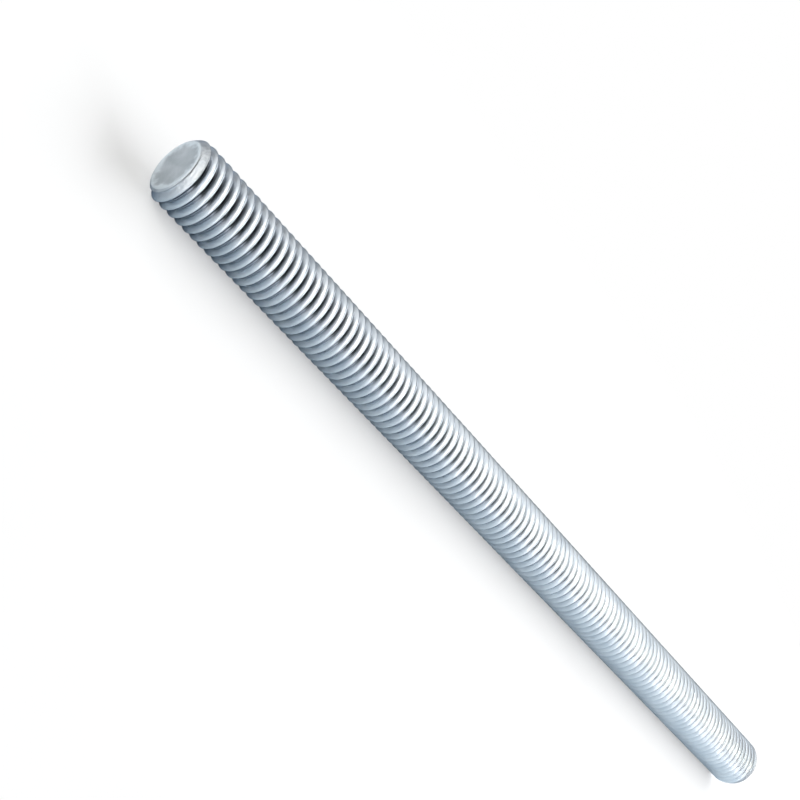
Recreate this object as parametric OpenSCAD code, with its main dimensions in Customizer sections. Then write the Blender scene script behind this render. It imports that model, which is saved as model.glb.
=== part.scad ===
// Threaded rod: one plain steel rod with a continuous right-hand metric thread from end
// to end, both ends cut square and chamfered to just under the root of the thread.
// The rod lies along +X. The origin is the centre of its first end face. Lengths are in
// millimetres and angles in degrees.

/* [Rod] */
// Length over the two end faces
rod_length = 180; // [60:5:300]
// Diameter over the thread crests: 10 mm makes an M10 rod
thread_diameter = 10; // [6:0.5:24]

/* [Thread] */
// Rise of the thread in one turn: 1.5 mm is the coarse pitch of M10
pitch = 1.5; // [1:0.05:3]
// Where the first crest meets the first end face, as an angle about +X from +Y
start_angle = -90; // [-180:90:180]

/* [End chamfers] */
// Angle between the chamfer and the end face
chamfer_angle = 45; // [20:1:60]
// How far the flat of the end face stops below the thread root
root_clearance = 0.08; // [0.06:0.01:0.5]

/* [Hidden] */

// A 60 degree thread takes 17/24 of the sharp triangle that stands on one pitch
triangle_height = pitch * sqrt(3) / 2;
thread_depth = triangle_height * 17 / 24;
crest_radius = thread_diameter / 2;
root_radius = crest_radius - thread_depth;

// The thread starts and stops outside the end faces, where the blank trims it
overrun_turns = 1;
thread_turns = rod_length / pitch + 2 * overrun_turns;

// Flat steps in one turn: a multiple of four, so that the crests reach the full diameter
// on all four sides, and as many as keep the longest thread under the facet budget
facet_budget = 10000;
facets_per_step = 4;
quarter_budget = facet_budget / (4 * facets_per_step * thread_turns);
quarter_steps = max(2, min(12, floor(quarter_budget)));
turn_steps = 4 * quarter_steps;
thread_steps = ceil(thread_turns * turn_steps);

// The blank stands clear of the crests, so that only its two ends cut the thread
blank_radius = crest_radius + pitch;
end_flat_radius = root_radius - root_clearance;
chamfer_length = (blank_radius - end_flat_radius) * tan(chamfer_angle);

// Point on a right-hand helix about +X. The lead shifts it along the rod.
function helix_point(step, radius, lead) =
    let (
        turn = step / turn_steps,
        angle = start_angle + 360 * turn
    )
    [
        (turn - overrun_turns) * pitch + lead,
        radius * cos(angle),
        radius * sin(angle)
    ];

// One solid helix: a strip of facets falls from each crest to the root, a second one
// rises to the next crest, and a fan with one radial step closes each end
module helical_thread() {
    last = thread_steps;
    count = thread_steps + 1;
    crest = [for (i = [0:last]) helix_point(i, crest_radius, 0)];
    root = [for (i = [0:last]) helix_point(i, root_radius, pitch / 2)];
    start_centre = 2 * count;
    stop_centre = start_centre + 1;
    centres = [[crest[0][0], 0, 0], [root[last][0], 0, 0]];

    falling_flank = [
        for (i = [0:last - 1])
            each [
                [i, i + 1, count + i],
                [i + 1, count + i + 1, count + i]
            ]
    ];
    rising_flank = [
        for (i = [0:last - turn_steps - 1])
            let (low = count + i, high = i + turn_steps)
            each [
                [low, low + 1, high],
                [low + 1, high + 1, high]
            ]
    ];
    start_fan = [for (i = [0:turn_steps - 1]) [start_centre, i + 1, i]];
    start_step = [
        [start_centre, 0, count],
        [start_centre, count, turn_steps]
    ];
    stop_fan = [
        for (i = [last - turn_steps:last - 1])
            [stop_centre, count + i, count + i + 1]
    ];
    stop_step = [
        [stop_centre, count + last, last],
        [stop_centre, last, count + last - turn_steps]
    ];
    polyhedron(
        points = concat(crest, root, centres),
        faces = concat(
            falling_flank, rising_flank, start_fan, start_step, stop_fan, stop_step
        )
    );
}

// The blank that trims the thread: a square end face inside a chamfer cone at each end
module end_blank() {
    rotate([90, 0, 90])
        rotate_extrude()
            polygon([
                [0, 0],
                [end_flat_radius, 0],
                [blank_radius, chamfer_length],
                [blank_radius, rod_length - chamfer_length],
                [end_flat_radius, rod_length],
                [0, rod_length]
            ]);
}

module threaded_rod() {
    color("lightsteelblue")
        intersection() {
            helical_thread();
            end_blank();
        }
}

threaded_rod();
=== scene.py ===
import math

import bmesh
import bpy
import numpy as np
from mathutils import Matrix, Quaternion, Vector


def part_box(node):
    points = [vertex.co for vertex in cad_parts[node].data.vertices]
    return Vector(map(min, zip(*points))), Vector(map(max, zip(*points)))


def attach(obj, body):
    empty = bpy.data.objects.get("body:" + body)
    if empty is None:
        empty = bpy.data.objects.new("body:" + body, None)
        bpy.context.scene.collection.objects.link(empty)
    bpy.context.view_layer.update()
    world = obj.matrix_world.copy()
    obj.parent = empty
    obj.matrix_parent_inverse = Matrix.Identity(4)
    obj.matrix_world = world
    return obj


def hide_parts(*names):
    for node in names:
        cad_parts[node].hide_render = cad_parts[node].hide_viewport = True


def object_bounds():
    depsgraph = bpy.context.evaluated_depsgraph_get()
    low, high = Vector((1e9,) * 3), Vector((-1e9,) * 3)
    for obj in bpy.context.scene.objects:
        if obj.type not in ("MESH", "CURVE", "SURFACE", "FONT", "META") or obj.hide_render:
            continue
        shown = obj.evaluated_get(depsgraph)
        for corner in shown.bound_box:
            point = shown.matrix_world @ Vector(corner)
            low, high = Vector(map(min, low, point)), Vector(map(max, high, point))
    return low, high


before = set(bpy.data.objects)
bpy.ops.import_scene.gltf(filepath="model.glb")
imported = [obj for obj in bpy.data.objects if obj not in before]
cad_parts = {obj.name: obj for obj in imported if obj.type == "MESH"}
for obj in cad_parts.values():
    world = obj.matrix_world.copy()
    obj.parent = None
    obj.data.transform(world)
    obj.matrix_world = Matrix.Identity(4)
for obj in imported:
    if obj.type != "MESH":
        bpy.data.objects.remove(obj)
cad_low, cad_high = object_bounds()

MM = 0.001

# ---- Sizes: the rod's own from the frame, the thread's from its pitch ----
rod_low, rod_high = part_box("threaded_rod")
ROD_LENGTH = rod_high.x - rod_low.x
CREST_RADIUS = (rod_high.y - rod_low.y) / 2

PITCH = 1.5 * MM
START_ANGLE = math.radians(-90)
FLANK_ANGLE = math.radians(30)
TRIANGLE_HEIGHT = PITCH * math.sqrt(3) / 2
THREAD_DEPTH = TRIANGLE_HEIGHT * 17 / 24
CREST_ROUND = TRIANGLE_HEIGHT / 8
ROOT_ROUND = TRIANGLE_HEIGHT / 6
ROOT_RADIUS = CREST_RADIUS - THREAD_DEPTH

CHAMFER_ANGLE = math.radians(45)
END_FLAT_RADIUS = ROOT_RADIUS - 0.08 * MM
RIM_ROUND = 0.7 * MM
LIP_RADIUS = END_FLAT_RADIUS - RIM_ROUND * math.tan((math.pi / 2 - CHAMFER_ANGLE) / 2)
DISH_DEPTH = 0.20 * MM
DISH_POWER = 6

# ---- How far the rolled crest wanders below its full radius ----
CREST_WANDER = 0.015 * MM
WANDER_TURNS = (47, 19, 7.3, 2.9)
WANDER_SEED = 11

# ---- Mesh fineness ----
TURN_STEPS = 60
ARC_POINTS = 5
RIM_POINTS = 9
BLANK_SEGMENTS = 192
DISH_RINGS = 10
OVERRUN_TURNS = 1
SMALLEST_EDGE = 0.0005 * MM
SHARP_EDGE = math.radians(32)


# ---- The threaded rod ----


def middle(a, b):
    return ((a[0] + b[0]) / 2, (a[1] + b[1]) / 2)


def thread_profile():
    """One pitch of the thread as (distance along the rod, radius), crest to crest."""
    tilt = math.pi / 2 - FLANK_ANGLE
    arc = [tilt * (2 * i / (ARC_POINTS - 1) - 1) for i in range(ARC_POINTS)]
    crest = [
        (CREST_ROUND * math.sin(a), CREST_RADIUS - CREST_ROUND * (1 - math.cos(a)))
        for a in arc
    ]
    root = [
        (PITCH / 2 + ROOT_ROUND * math.sin(a), ROOT_RADIUS + ROOT_ROUND * (1 - math.cos(a)))
        for a in arc
    ]
    falling = middle(crest[-1], root[0])
    next_crest = (crest[0][0] + PITCH, crest[0][1])
    rising = middle(root[-1], next_crest)
    return [*crest, falling, *root, rising]


def crest_wander(turn):
    """How much lower the crest runs at each turn, from 0 to CREST_WANDER."""
    rng = np.random.default_rng(WANDER_SEED)
    wave = sum(np.sin(2 * math.pi * (turn / length + rng.random())) for length in WANDER_TURNS)
    return CREST_WANDER * (0.5 + 0.5 * wave / len(WANDER_TURNS))


def thread_mesh():
    """A closed helical thread, one turn longer than the rod at each end."""
    profile = np.array(thread_profile())
    width = len(profile)
    steps = math.ceil((ROD_LENGTH / PITCH + 2 * OVERRUN_TURNS) * TURN_STEPS)
    turn = np.arange(steps + 1) / TURN_STEPS
    angle = START_ANGLE + 2 * math.pi * turn
    along = (turn[:, None] - OVERRUN_TURNS) * PITCH + profile[None, :, 0]
    height = (profile[:, 1] - ROOT_RADIUS) / THREAD_DEPTH
    radius = profile[None, :, 1] - crest_wander(turn)[:, None] * height[None, :]
    points = np.stack(
        [along, radius * np.cos(angle)[:, None], radius * np.sin(angle)[:, None]], axis=-1
    ).reshape(-1, 3)

    def at(step, place):
        """Index of a profile point, where place may run on into the next turn."""
        return (step + TURN_STEPS * (place // width)) * width + place % width

    faces = []
    for i in range(steps):
        last_place = width if i + TURN_STEPS < steps else width - 1
        for p in range(last_place):
            faces.append((at(i, p), at(i, p + 1), at(i + 1, p + 1), at(i + 1, p)))
    start_centre = len(points)
    stop_centre = start_centre + 1
    points = np.vstack([points, [points[0][0], 0, 0], [points[-1][0], 0, 0]])
    far = steps - TURN_STEPS
    for i in range(TURN_STEPS):
        faces.append((start_centre, at(i, 0), at(i + 1, 0)))
        faces.append((stop_centre, at(far + i + 1, width - 1), at(far + i, width - 1)))
    faces.append((start_centre, *(at(0, p) for p in range(width, -1, -1))))
    faces.append((stop_centre, *(at(far, p) for p in range(width - 1, 2 * width))))
    return mesh_from("thread", points, faces)


def end_profile():
    """Half of the blank's outline as (distance from the end, radius), from the middle out."""
    bend = math.pi / 2 - CHAMFER_ANGLE
    dish = []
    for ring in range(1, DISH_RINGS):
        share = math.sin(math.pi / 2 * ring / DISH_RINGS)
        dish.append((DISH_DEPTH * (1 - share**DISH_POWER), LIP_RADIUS * share))
    rim = []
    for i in range(RIM_POINTS):
        turn = bend * i / (RIM_POINTS - 1)
        rim.append((RIM_ROUND * (1 - math.cos(turn)), LIP_RADIUS + RIM_ROUND * math.sin(turn)))
    reach = CREST_RADIUS + PITCH
    chamfer_length = (reach - END_FLAT_RADIUS) * math.tan(CHAMFER_ANGLE)
    return [*dish, *rim, (chamfer_length, reach)]


def blank_mesh():
    """The blank that trims the thread: slightly dished ends with soft rims and chamfers."""
    half = end_profile()
    outline = half + [(ROD_LENGTH - x, r) for x, r in reversed(half)]
    points = []
    for x, r in outline:
        for s in range(BLANK_SEGMENTS):
            a = 2 * math.pi * s / BLANK_SEGMENTS
            points.append((x, r * math.cos(a), r * math.sin(a)))
    faces = []
    for ring in range(len(outline) - 1):
        for s in range(BLANK_SEGMENTS):
            t = (s + 1) % BLANK_SEGMENTS
            a, b = ring * BLANK_SEGMENTS, (ring + 1) * BLANK_SEGMENTS
            faces.append((a + s, b + s, b + t, a + t))
    first_middle = len(points)
    last_ring = (len(outline) - 1) * BLANK_SEGMENTS
    points += [(DISH_DEPTH, 0, 0), (ROD_LENGTH - DISH_DEPTH, 0, 0)]
    for s in range(BLANK_SEGMENTS):
        t = (s + 1) % BLANK_SEGMENTS
        faces.append((first_middle, s, t))
        faces.append((first_middle + 1, last_ring + t, last_ring + s))
    return mesh_from("blank", points, faces)


def mesh_from(name, points, faces):
    """A mesh whose faces all point outwards."""
    mesh = bpy.data.meshes.new(name)
    mesh.from_pydata([tuple(p) for p in points], [], faces)
    mesh.validate()
    bm = bmesh.new()
    bm.from_mesh(mesh)
    bmesh.ops.recalc_face_normals(bm, faces=bm.faces)
    bm.to_mesh(mesh)
    bm.free()
    return mesh


def add_object(name, data):
    obj = bpy.data.objects.new(name, data)
    bpy.context.scene.collection.objects.link(obj)
    return obj


def trimmed_thread():
    """The helical thread cut to length by the blank."""
    rod = add_object("zinc_plated_rod", thread_mesh())
    blank = add_object("trimming_blank", blank_mesh())
    cut = rod.modifiers.new("trim", "BOOLEAN")
    cut.operation = "INTERSECT"
    cut.solver = "MANIFOLD"
    cut.object = blank
    bpy.context.view_layer.update()
    graph = bpy.context.evaluated_depsgraph_get()
    result = bpy.data.meshes.new_from_object(rod.evaluated_get(graph))
    bm = bmesh.new()
    bm.from_mesh(result)
    bmesh.ops.dissolve_degenerate(bm, edges=bm.edges, dist=SMALLEST_EDGE)
    bm.to_mesh(result)
    bm.free()
    rod.modifiers.clear()
    rod.data = result
    bpy.data.objects.remove(blank)
    return rod


# ---- Materials ----


class Nodes:
    """Short calls for building one node tree."""

    def __init__(self, tree):
        self.tree = tree
        self.tree.nodes.clear()

    def add(self, kind, inputs=(), **settings):
        node = self.tree.nodes.new(kind)
        for key, value in settings.items():
            setattr(node, key, value)
        for key, value in dict(inputs).items():
            if isinstance(value, bpy.types.NodeSocket):
                self.tree.links.new(value, node.inputs[key])
            else:
                node.inputs[key].default_value = value
        return node

    def noise(self, place, scale, detail=3.0, roughness=0.55):
        """Cloudy values round 0.5, with patches about 1 / scale metres across."""
        inputs = {"Vector": place, "Scale": scale, "Detail": detail, "Roughness": roughness}
        return self.add("ShaderNodeTexNoise", inputs).outputs["Fac"]

    def math(self, operation, a, b=0.0):
        return self.add("ShaderNodeMath", {0: a, 1: b}, operation=operation).outputs[0]

    def total(self, value, *others):
        for other in others:
            value = self.math("ADD", value, other)
        return value

    def hypot(self, a, b):
        squares = self.math("ADD", self.math("MULTIPLY", a, a), self.math("MULTIPLY", b, b))
        return self.math("SQRT", squares)

    def spread(self, value, low, high, to_low, to_high):
        inputs = {
            "Value": value,
            "From Min": low,
            "From Max": high,
            "To Min": to_low,
            "To Max": to_high,
        }
        return self.add("ShaderNodeMapRange", inputs).outputs["Result"]

    def ramp(self, value, *stops):
        """Colours blended over (place, colour) stops."""
        node = self.add("ShaderNodeValToRGB", {"Fac": value})
        elements = node.color_ramp.elements
        for element, (place, colour) in zip(elements, (stops[0], stops[-1])):
            element.position = place
            element.color = (*colour, 1)
        for place, colour in stops[1:-1]:
            elements.new(place).color = (*colour, 1)
        return node.outputs["Color"]

    def mix(self, factor, a, b, blend="MIX"):
        """Two colours blended: sockets 6 and 7 are the mix node's colours, and 2 its result."""
        inputs = {"Factor": factor, 6: a, 7: b}
        return self.add("ShaderNodeMix", inputs, data_type="RGBA", blend_type=blend).outputs[2]

    def bump(self, height, strength, distance):
        inputs = {"Height": height, "Strength": strength, "Distance": distance}
        return self.add("ShaderNodeBump", inputs).outputs["Normal"]

    def background_rays(self):
        """1 for rays from the camera, then 1 for those that metal or glass sends on."""
        path = self.add("ShaderNodeLightPath").outputs
        sent_on = self.math("MAXIMUM", path["Is Glossy Ray"], path["Is Transmission Ray"])
        return path["Is Camera Ray"], sent_on

    def metal(self, colour, metallic, roughness, normal, edge=(1, 1, 1, 1)):
        """A metal whose reflection takes the edge tint at glancing angles."""
        inputs = {
            "Base Color": colour,
            "Metallic": metallic,
            "Roughness": roughness,
            "Specular Tint": edge,
            "Normal": normal,
        }
        shader = self.add("ShaderNodeBsdfPrincipled", inputs)
        self.add("ShaderNodeOutputMaterial", {"Surface": shader.outputs[0]})


def new_material(name):
    material = bpy.data.materials.new(name)
    material.use_nodes = True
    return material, Nodes(material.node_tree)


def rod_coordinates(n):
    """The place on the rod, its distance along it, its angle round it and its radius."""
    place = n.add("ShaderNodeTexCoord").outputs["Object"]
    parts = n.add("ShaderNodeSeparateXYZ", {0: place}).outputs
    angle = n.math("ARCTAN2", parts["Z"], parts["Y"])
    return place, parts["X"], angle, n.hypot(parts["Y"], parts["Z"])


# ---- The plate on the thread: noise scales are in patches per metre ----
NOISE_LOW = 0.3
NOISE_HIGH = 0.7
FINE_DETAIL = 4.0
SOFT_DETAIL = 2.0
MOTTLE_SCALE = 260
GRAIN_SCALE = 2600
ROLLING_SCALE = 1300
ROLLING_ALONG = 9.0
ROLLING_ROUND = 0.004
ZINC_DULL = (0.32, (0.57, 0.605, 0.64))
ZINC_BRIGHT = (0.68, (0.695, 0.715, 0.735))
# Painted shade: ROOT_SHADE and FLANK_SHADE darken the colour from the crest down into the root of
# each groove.
ROOT_SHADE = (0.0, (0.30, 0.315, 0.34))
FLANK_SHADE = (0.37, (0.95, 0.955, 0.97))
CREST_SHADE = (1.0, (1.0, 1.0, 1.0))
PLATE_ROUGHNESS = (0.37, 0.30)
ROOT_SMOOTHER = 0.09
CREST_ROUGHER = 0.02
CREST_HEIGHT = 0.8
GRAIN_RELIEF = 1.5
MOTTLE_RELIEF = 0.6
# Painted shade: a dark blue edge tint that darkens the plate's reflection at glancing angles, along
# the rod's outline.
PLATE_EDGE_SHADE = (0.0, 0.10, 0.24, 1)
PLATE_BUMP = 0.35
PLATE_BUMP_DEPTH = 0.04 * MM

# ---- The same plate near the cut ends, where the chamfer is rough ----
CUT_ZONE = (0.8 * MM, 1.3 * MM)
CUT_ROUGHER = 0.16
CUT_SHADE = (0.88, 0.86, 0.855, 1)
DENT_SCALE = 1300
DENT_RELIEF = 14.0


def zinc_plate():
    """Bright zinc on rolled steel: mottled, faintly blue, smoother in the roots, with painted shade
    darkening the roots.
    """
    material, n = new_material("zinc_plate")
    place, along, angle, radius = rod_coordinates(n)
    from_start = n.math("SUBTRACT", along, rod_low.x)
    from_stop = n.math("SUBTRACT", rod_high.x, along)
    from_end = n.math("MINIMUM", from_start, from_stop)
    end_zone = n.spread(from_end, *CUT_ZONE, 1.0, 0.0)
    skin = n.math("MINIMUM", CREST_RADIUS, n.math("ADD", from_end, END_FLAT_RADIUS))
    height = n.spread(n.math("SUBTRACT", skin, radius), THREAD_DEPTH, 0.0, 0.0, 1.0)

    mottle = n.noise(place, MOTTLE_SCALE)
    zinc = n.ramp(mottle, ZINC_DULL, ZINC_BRIGHT)
    # Painted shade: the colour is darker towards the root of each groove.
    shade = n.ramp(height, ROOT_SHADE, FLANK_SHADE, CREST_SHADE)
    plain = n.mix(1.0, zinc, shade, "MULTIPLY")
    colour = n.mix(end_zone, plain, n.mix(1.0, plain, CUT_SHADE, "MULTIPLY"))

    rolled = n.spread(mottle, NOISE_LOW, NOISE_HIGH, *PLATE_ROUGHNESS)
    by_height = n.spread(height, 0.0, CREST_HEIGHT, -ROOT_SMOOTHER, CREST_ROUGHER)
    rough = n.total(rolled, by_height, n.math("MULTIPLY", end_zone, CUT_ROUGHER))

    round_lines = {
        "X": n.math("MULTIPLY", along, ROLLING_ALONG),
        "Y": n.math("MULTIPLY", angle, ROLLING_ROUND),
        "Z": radius,
    }
    line_place = n.add("ShaderNodeCombineXYZ", round_lines).outputs[0]
    grain = n.math("MULTIPLY", n.noise(place, GRAIN_SCALE), GRAIN_RELIEF)
    waves = n.math("MULTIPLY", mottle, MOTTLE_RELIEF)
    rolling = n.noise(line_place, ROLLING_SCALE, SOFT_DETAIL)
    dents = n.math("MULTIPLY", n.noise(place, DENT_SCALE, FINE_DETAIL), DENT_RELIEF)
    relief = n.total(grain, waves, rolling, n.math("MULTIPLY", dents, end_zone))
    bumps = n.bump(relief, PLATE_BUMP, PLATE_BUMP_DEPTH)
    n.metal(colour, 1.0, rough, bumps, PLATE_EDGE_SHADE)
    return material


# ---- The cut face and its lip ----
FACE_REACH = 1.1 * DISH_DEPTH
FACE_METALLIC = 0.75
FACE_MOTTLE_SCALE = 450
FACE_DULL = (NOISE_LOW, (0.385, 0.395, 0.41))
FACE_BRIGHT = (NOISE_HIGH, (0.515, 0.52, 0.535))
FACE_LINE_SCALE = 2400
FACE_SMEAR = (1.0, 0.35, 1.6)
FACE_ROUGHNESS = (0.62, 0.5)
FACE_BUMP = 0.3
FACE_BUMP_DEPTH = 0.03 * MM
NIBBLE_SCALE = 800
NIBBLE_RELIEF = 2.0
LIP_RAGGED = 0.6 * MM
LIP_SPAN = (0.78 * LIP_RADIUS, 0.98 * LIP_RADIUS)
LIP_COLOUR = (0.64, 0.66, 0.68, 1)


def cut_face():
    """The dull sawn end under its thin plate, with a brighter, ragged lip."""
    material, n = new_material("cut_face")
    place, _, _, radius = rod_coordinates(n)
    smeared = n.add("ShaderNodeMapping", {"Vector": place, "Scale": FACE_SMEAR}).outputs[0]
    lines = n.noise(smeared, FACE_LINE_SCALE, FINE_DETAIL)
    nibbled = n.noise(place, NIBBLE_SCALE, FINE_DETAIL)
    ragged = n.spread(nibbled, NOISE_LOW, NOISE_HIGH, -LIP_RAGGED, LIP_RAGGED)
    lip = n.spread(n.math("ADD", radius, ragged), *LIP_SPAN, 0.0, 1.0)
    dull = n.ramp(n.noise(place, FACE_MOTTLE_SCALE, FINE_DETAIL), FACE_DULL, FACE_BRIGHT)
    rough = n.spread(lines, NOISE_LOW, NOISE_HIGH, *FACE_ROUGHNESS)
    relief = n.total(lines, n.math("MULTIPLY", nibbled, NIBBLE_RELIEF))
    bumps = n.bump(relief, FACE_BUMP, FACE_BUMP_DEPTH)
    n.metal(n.mix(lip, dull, LIP_COLOUR), FACE_METALLIC, rough, bumps)
    return material


rod = trimmed_thread()
rod.data.materials.clear()
rod.data.materials.append(zinc_plate())
rod.data.materials.append(cut_face())
for face in rod.data.polygons:
    from_end = min(face.center.x - rod_low.x, rod_high.x - face.center.x)
    inside = math.hypot(face.center.y, face.center.z) < END_FLAT_RADIUS
    face.material_index = 1 if from_end < FACE_REACH and inside else 0
    face.use_smooth = True
rod.data.set_sharp_from_angle(angle=SHARP_EDGE)
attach(rod, "root")
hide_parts("threaded_rod")

# ---- Camera: over the near end, rolled so that the rod runs down the picture ----
AIM_ALONG = 51.3 * MM
AIM_SIDE = 0.24 * MM
AIM_UP = 0.38 * MM
VIEW_DISTANCE = 202.8 * MM
VIEW_AZIMUTH = math.radians(-43.0)
VIEW_ELEVATION = math.radians(25)
VIEW_ROLL = math.radians(68.5)
LENS_MM = 62.1
CLIP_NEAR = 1 * MM
CLIP_FAR = 20

aim = Vector((rod_low.x + AIM_ALONG, AIM_SIDE, AIM_UP))
towards_camera = Vector(
    (
        math.sin(VIEW_AZIMUTH) * math.cos(VIEW_ELEVATION),
        -math.cos(VIEW_AZIMUTH) * math.cos(VIEW_ELEVATION),
        math.sin(VIEW_ELEVATION),
    )
)
camera = add_object("camera", bpy.data.cameras.new("camera"))
camera.data.lens = LENS_MM
camera.data.clip_start = CLIP_NEAR
camera.data.clip_end = CLIP_FAR
camera.location = aim + towards_camera * VIEW_DISTANCE
camera.rotation_mode = "QUATERNION"
level = (-towards_camera).to_track_quat("-Z", "Y")
camera.rotation_quaternion = level @ Quaternion((0, 0, 1), VIEW_ROLL)
bpy.context.scene.camera = camera

# ---- Floor: pale paper that keeps the rod's shadow and turns to plain white away from it ----
WHITE = (1, 1, 1, 1)
FLOOR_REACH = 3.0
SHADOW_NEAR = 30 * MM
SHADOW_FAR = 110 * MM
SHADOW_SOFTER = 0.45
FLOOR_BOUNCE = (0.80, 0.885, 0.95, 1)
PAPER_SCALE = 40
PAPER_DULL = (0.3, (0.955, 0.925, 0.915))
PAPER_BRIGHT = (0.7, (0.99, 0.96, 0.95))


def pale_floor():
    """Paper round the rod, and white away from it to the camera, and to metal or glass."""
    material, n = new_material("pale_floor")
    place = n.add("ShaderNodeTexCoord").outputs["Object"]
    parts = n.add("ShaderNodeSeparateXYZ", {0: place}).outputs
    from_camera, sent_on = n.background_rays()
    bright = n.ramp(n.noise(place, PAPER_SCALE), PAPER_DULL, PAPER_BRIGHT)
    colour = n.mix(from_camera, FLOOR_BOUNCE, bright)
    paper = n.add("ShaderNodeBsdfDiffuse", {"Color": colour})
    white = n.add("ShaderNodeEmission", {"Color": WHITE, "Strength": 1.0})
    short = n.math("SUBTRACT", rod_low.x, parts["X"])
    past = n.math("SUBTRACT", parts["X"], rod_high.x)
    beyond = n.math("MAXIMUM", n.math("MAXIMUM", short, past), 0.0)
    away = n.hypot(beyond, parts["Y"])
    to_camera = n.spread(away, SHADOW_NEAR, SHADOW_FAR, SHADOW_SOFTER, 1.0)
    to_metal = n.spread(away, SHADOW_NEAR, SHADOW_FAR, 0.0, 1.0)
    camera_share = n.math("MULTIPLY", from_camera, to_camera)
    share = n.math("MAXIMUM", camera_share, n.math("MULTIPLY", sent_on, to_metal))
    both = n.add("ShaderNodeMixShader", {0: share, 1: paper.outputs[0], 2: white.outputs[0]})
    n.add("ShaderNodeOutputMaterial", {"Surface": both.outputs[0]})
    return material


corners = [(-1, -1), (1, -1), (1, 1), (-1, 1)]
floor_points = [(x * FLOOR_REACH, y * FLOOR_REACH, cad_low.z) for x, y in corners]
floor = add_object("floor", mesh_from("floor", floor_points, [(0, 1, 2, 3)]))
floor.data.materials.append(pale_floor())

# ---- Lights: a low strip on the camera's side, a panel off each end and one behind ----
LEVEL = 0.85
AMBIENT = 0.03
AMBIENT_COLOUR = (0.80, 0.90, 1.0, 1)
DARK_CARD_AZIMUTH = 119
DARK_CARD_SIDES = (math.cos(math.radians(34)), math.cos(math.radians(28)))
BACKDROP_TOP = (math.sin(math.radians(17)), math.sin(math.radians(23)))
LAMP_DISTANCE = 0.9
rod_middle = Vector(((rod_low.x + rod_high.x) / 2, 0, 0))


def softbox(name, azimuth, elevation, width, height, radiance, colour):
    """A rectangular lamp that faces the rod. Azimuth turns from +X towards +Y."""
    lamp = bpy.data.lights.new(name, "AREA")
    lamp.shape = "RECTANGLE"
    lamp.size = width
    lamp.size_y = height
    lamp.energy = radiance * LEVEL * math.pi * width * height
    lamp.color = colour
    obj = add_object(name, lamp)
    turn = math.radians(azimuth)
    rise = math.radians(elevation)
    level_reach = math.cos(rise)
    away = Vector((level_reach * math.cos(turn), level_reach * math.sin(turn), math.sin(rise)))
    obj.location = rod_middle + away * LAMP_DISTANCE
    obj.rotation_mode = "QUATERNION"
    obj.rotation_quaternion = (-away).to_track_quat("-Z", "Y")


def studio_world():
    """White to the camera. Metal or glass sees white low down, a dark card in it, and dim above."""
    world = bpy.data.worlds.new("studio")
    world.use_nodes = True
    n = Nodes(world.node_tree)
    from_camera, sent_on = n.background_rays()
    direction = n.add("ShaderNodeTexCoord").outputs["Generated"]
    parts = n.add("ShaderNodeSeparateXYZ", {0: direction}).outputs
    card = math.radians(DARK_CARD_AZIMUTH)
    along = n.math("MULTIPLY", parts["X"], math.cos(card))
    facing = n.math("ADD", along, n.math("MULTIPLY", parts["Y"], math.sin(card)))
    beside = n.spread(facing, *DARK_CARD_SIDES, 1.0, 0.0)
    below = n.spread(parts["Z"], *BACKDROP_TOP, 1.0, 0.0)
    backdrop = n.math("MULTIPLY", beside, below)
    seen = n.math("MAXIMUM", from_camera, n.math("MULTIPLY", sent_on, backdrop))
    dim = n.add("ShaderNodeBackground", {"Color": AMBIENT_COLOUR, "Strength": AMBIENT})
    white = n.add("ShaderNodeBackground", {"Color": WHITE, "Strength": 1.0})
    both = n.add("ShaderNodeMixShader", {0: seen, 1: dim.outputs[0], 2: white.outputs[0]})
    n.add("ShaderNodeOutputWorld", {"Surface": both.outputs[0]})
    return world


softbox(
    "near_strip",
    azimuth=224,
    elevation=6,
    width=2.27,
    height=0.18,
    radiance=2.80,
    colour=(0.845, 0.923, 1.0),
)
softbox(
    "near_end_panel",
    azimuth=184,
    elevation=26,
    width=0.72,
    height=0.32,
    radiance=4.85,
    colour=(1.0, 1.0, 0.915),
)
softbox(
    "far_end_wall",
    azimuth=0,
    elevation=39,
    width=1.50,
    height=0.47,
    radiance=8.40,
    colour=(0.923, 0.968, 1.0),
)
softbox(
    "back_panel",
    azimuth=143,
    elevation=32,
    width=1.14,
    height=0.69,
    radiance=1.40,
    colour=(0.935, 0.972, 1.0),
)
bpy.context.scene.world = studio_world()
bpy.context.scene.view_settings.view_transform = "Standard"
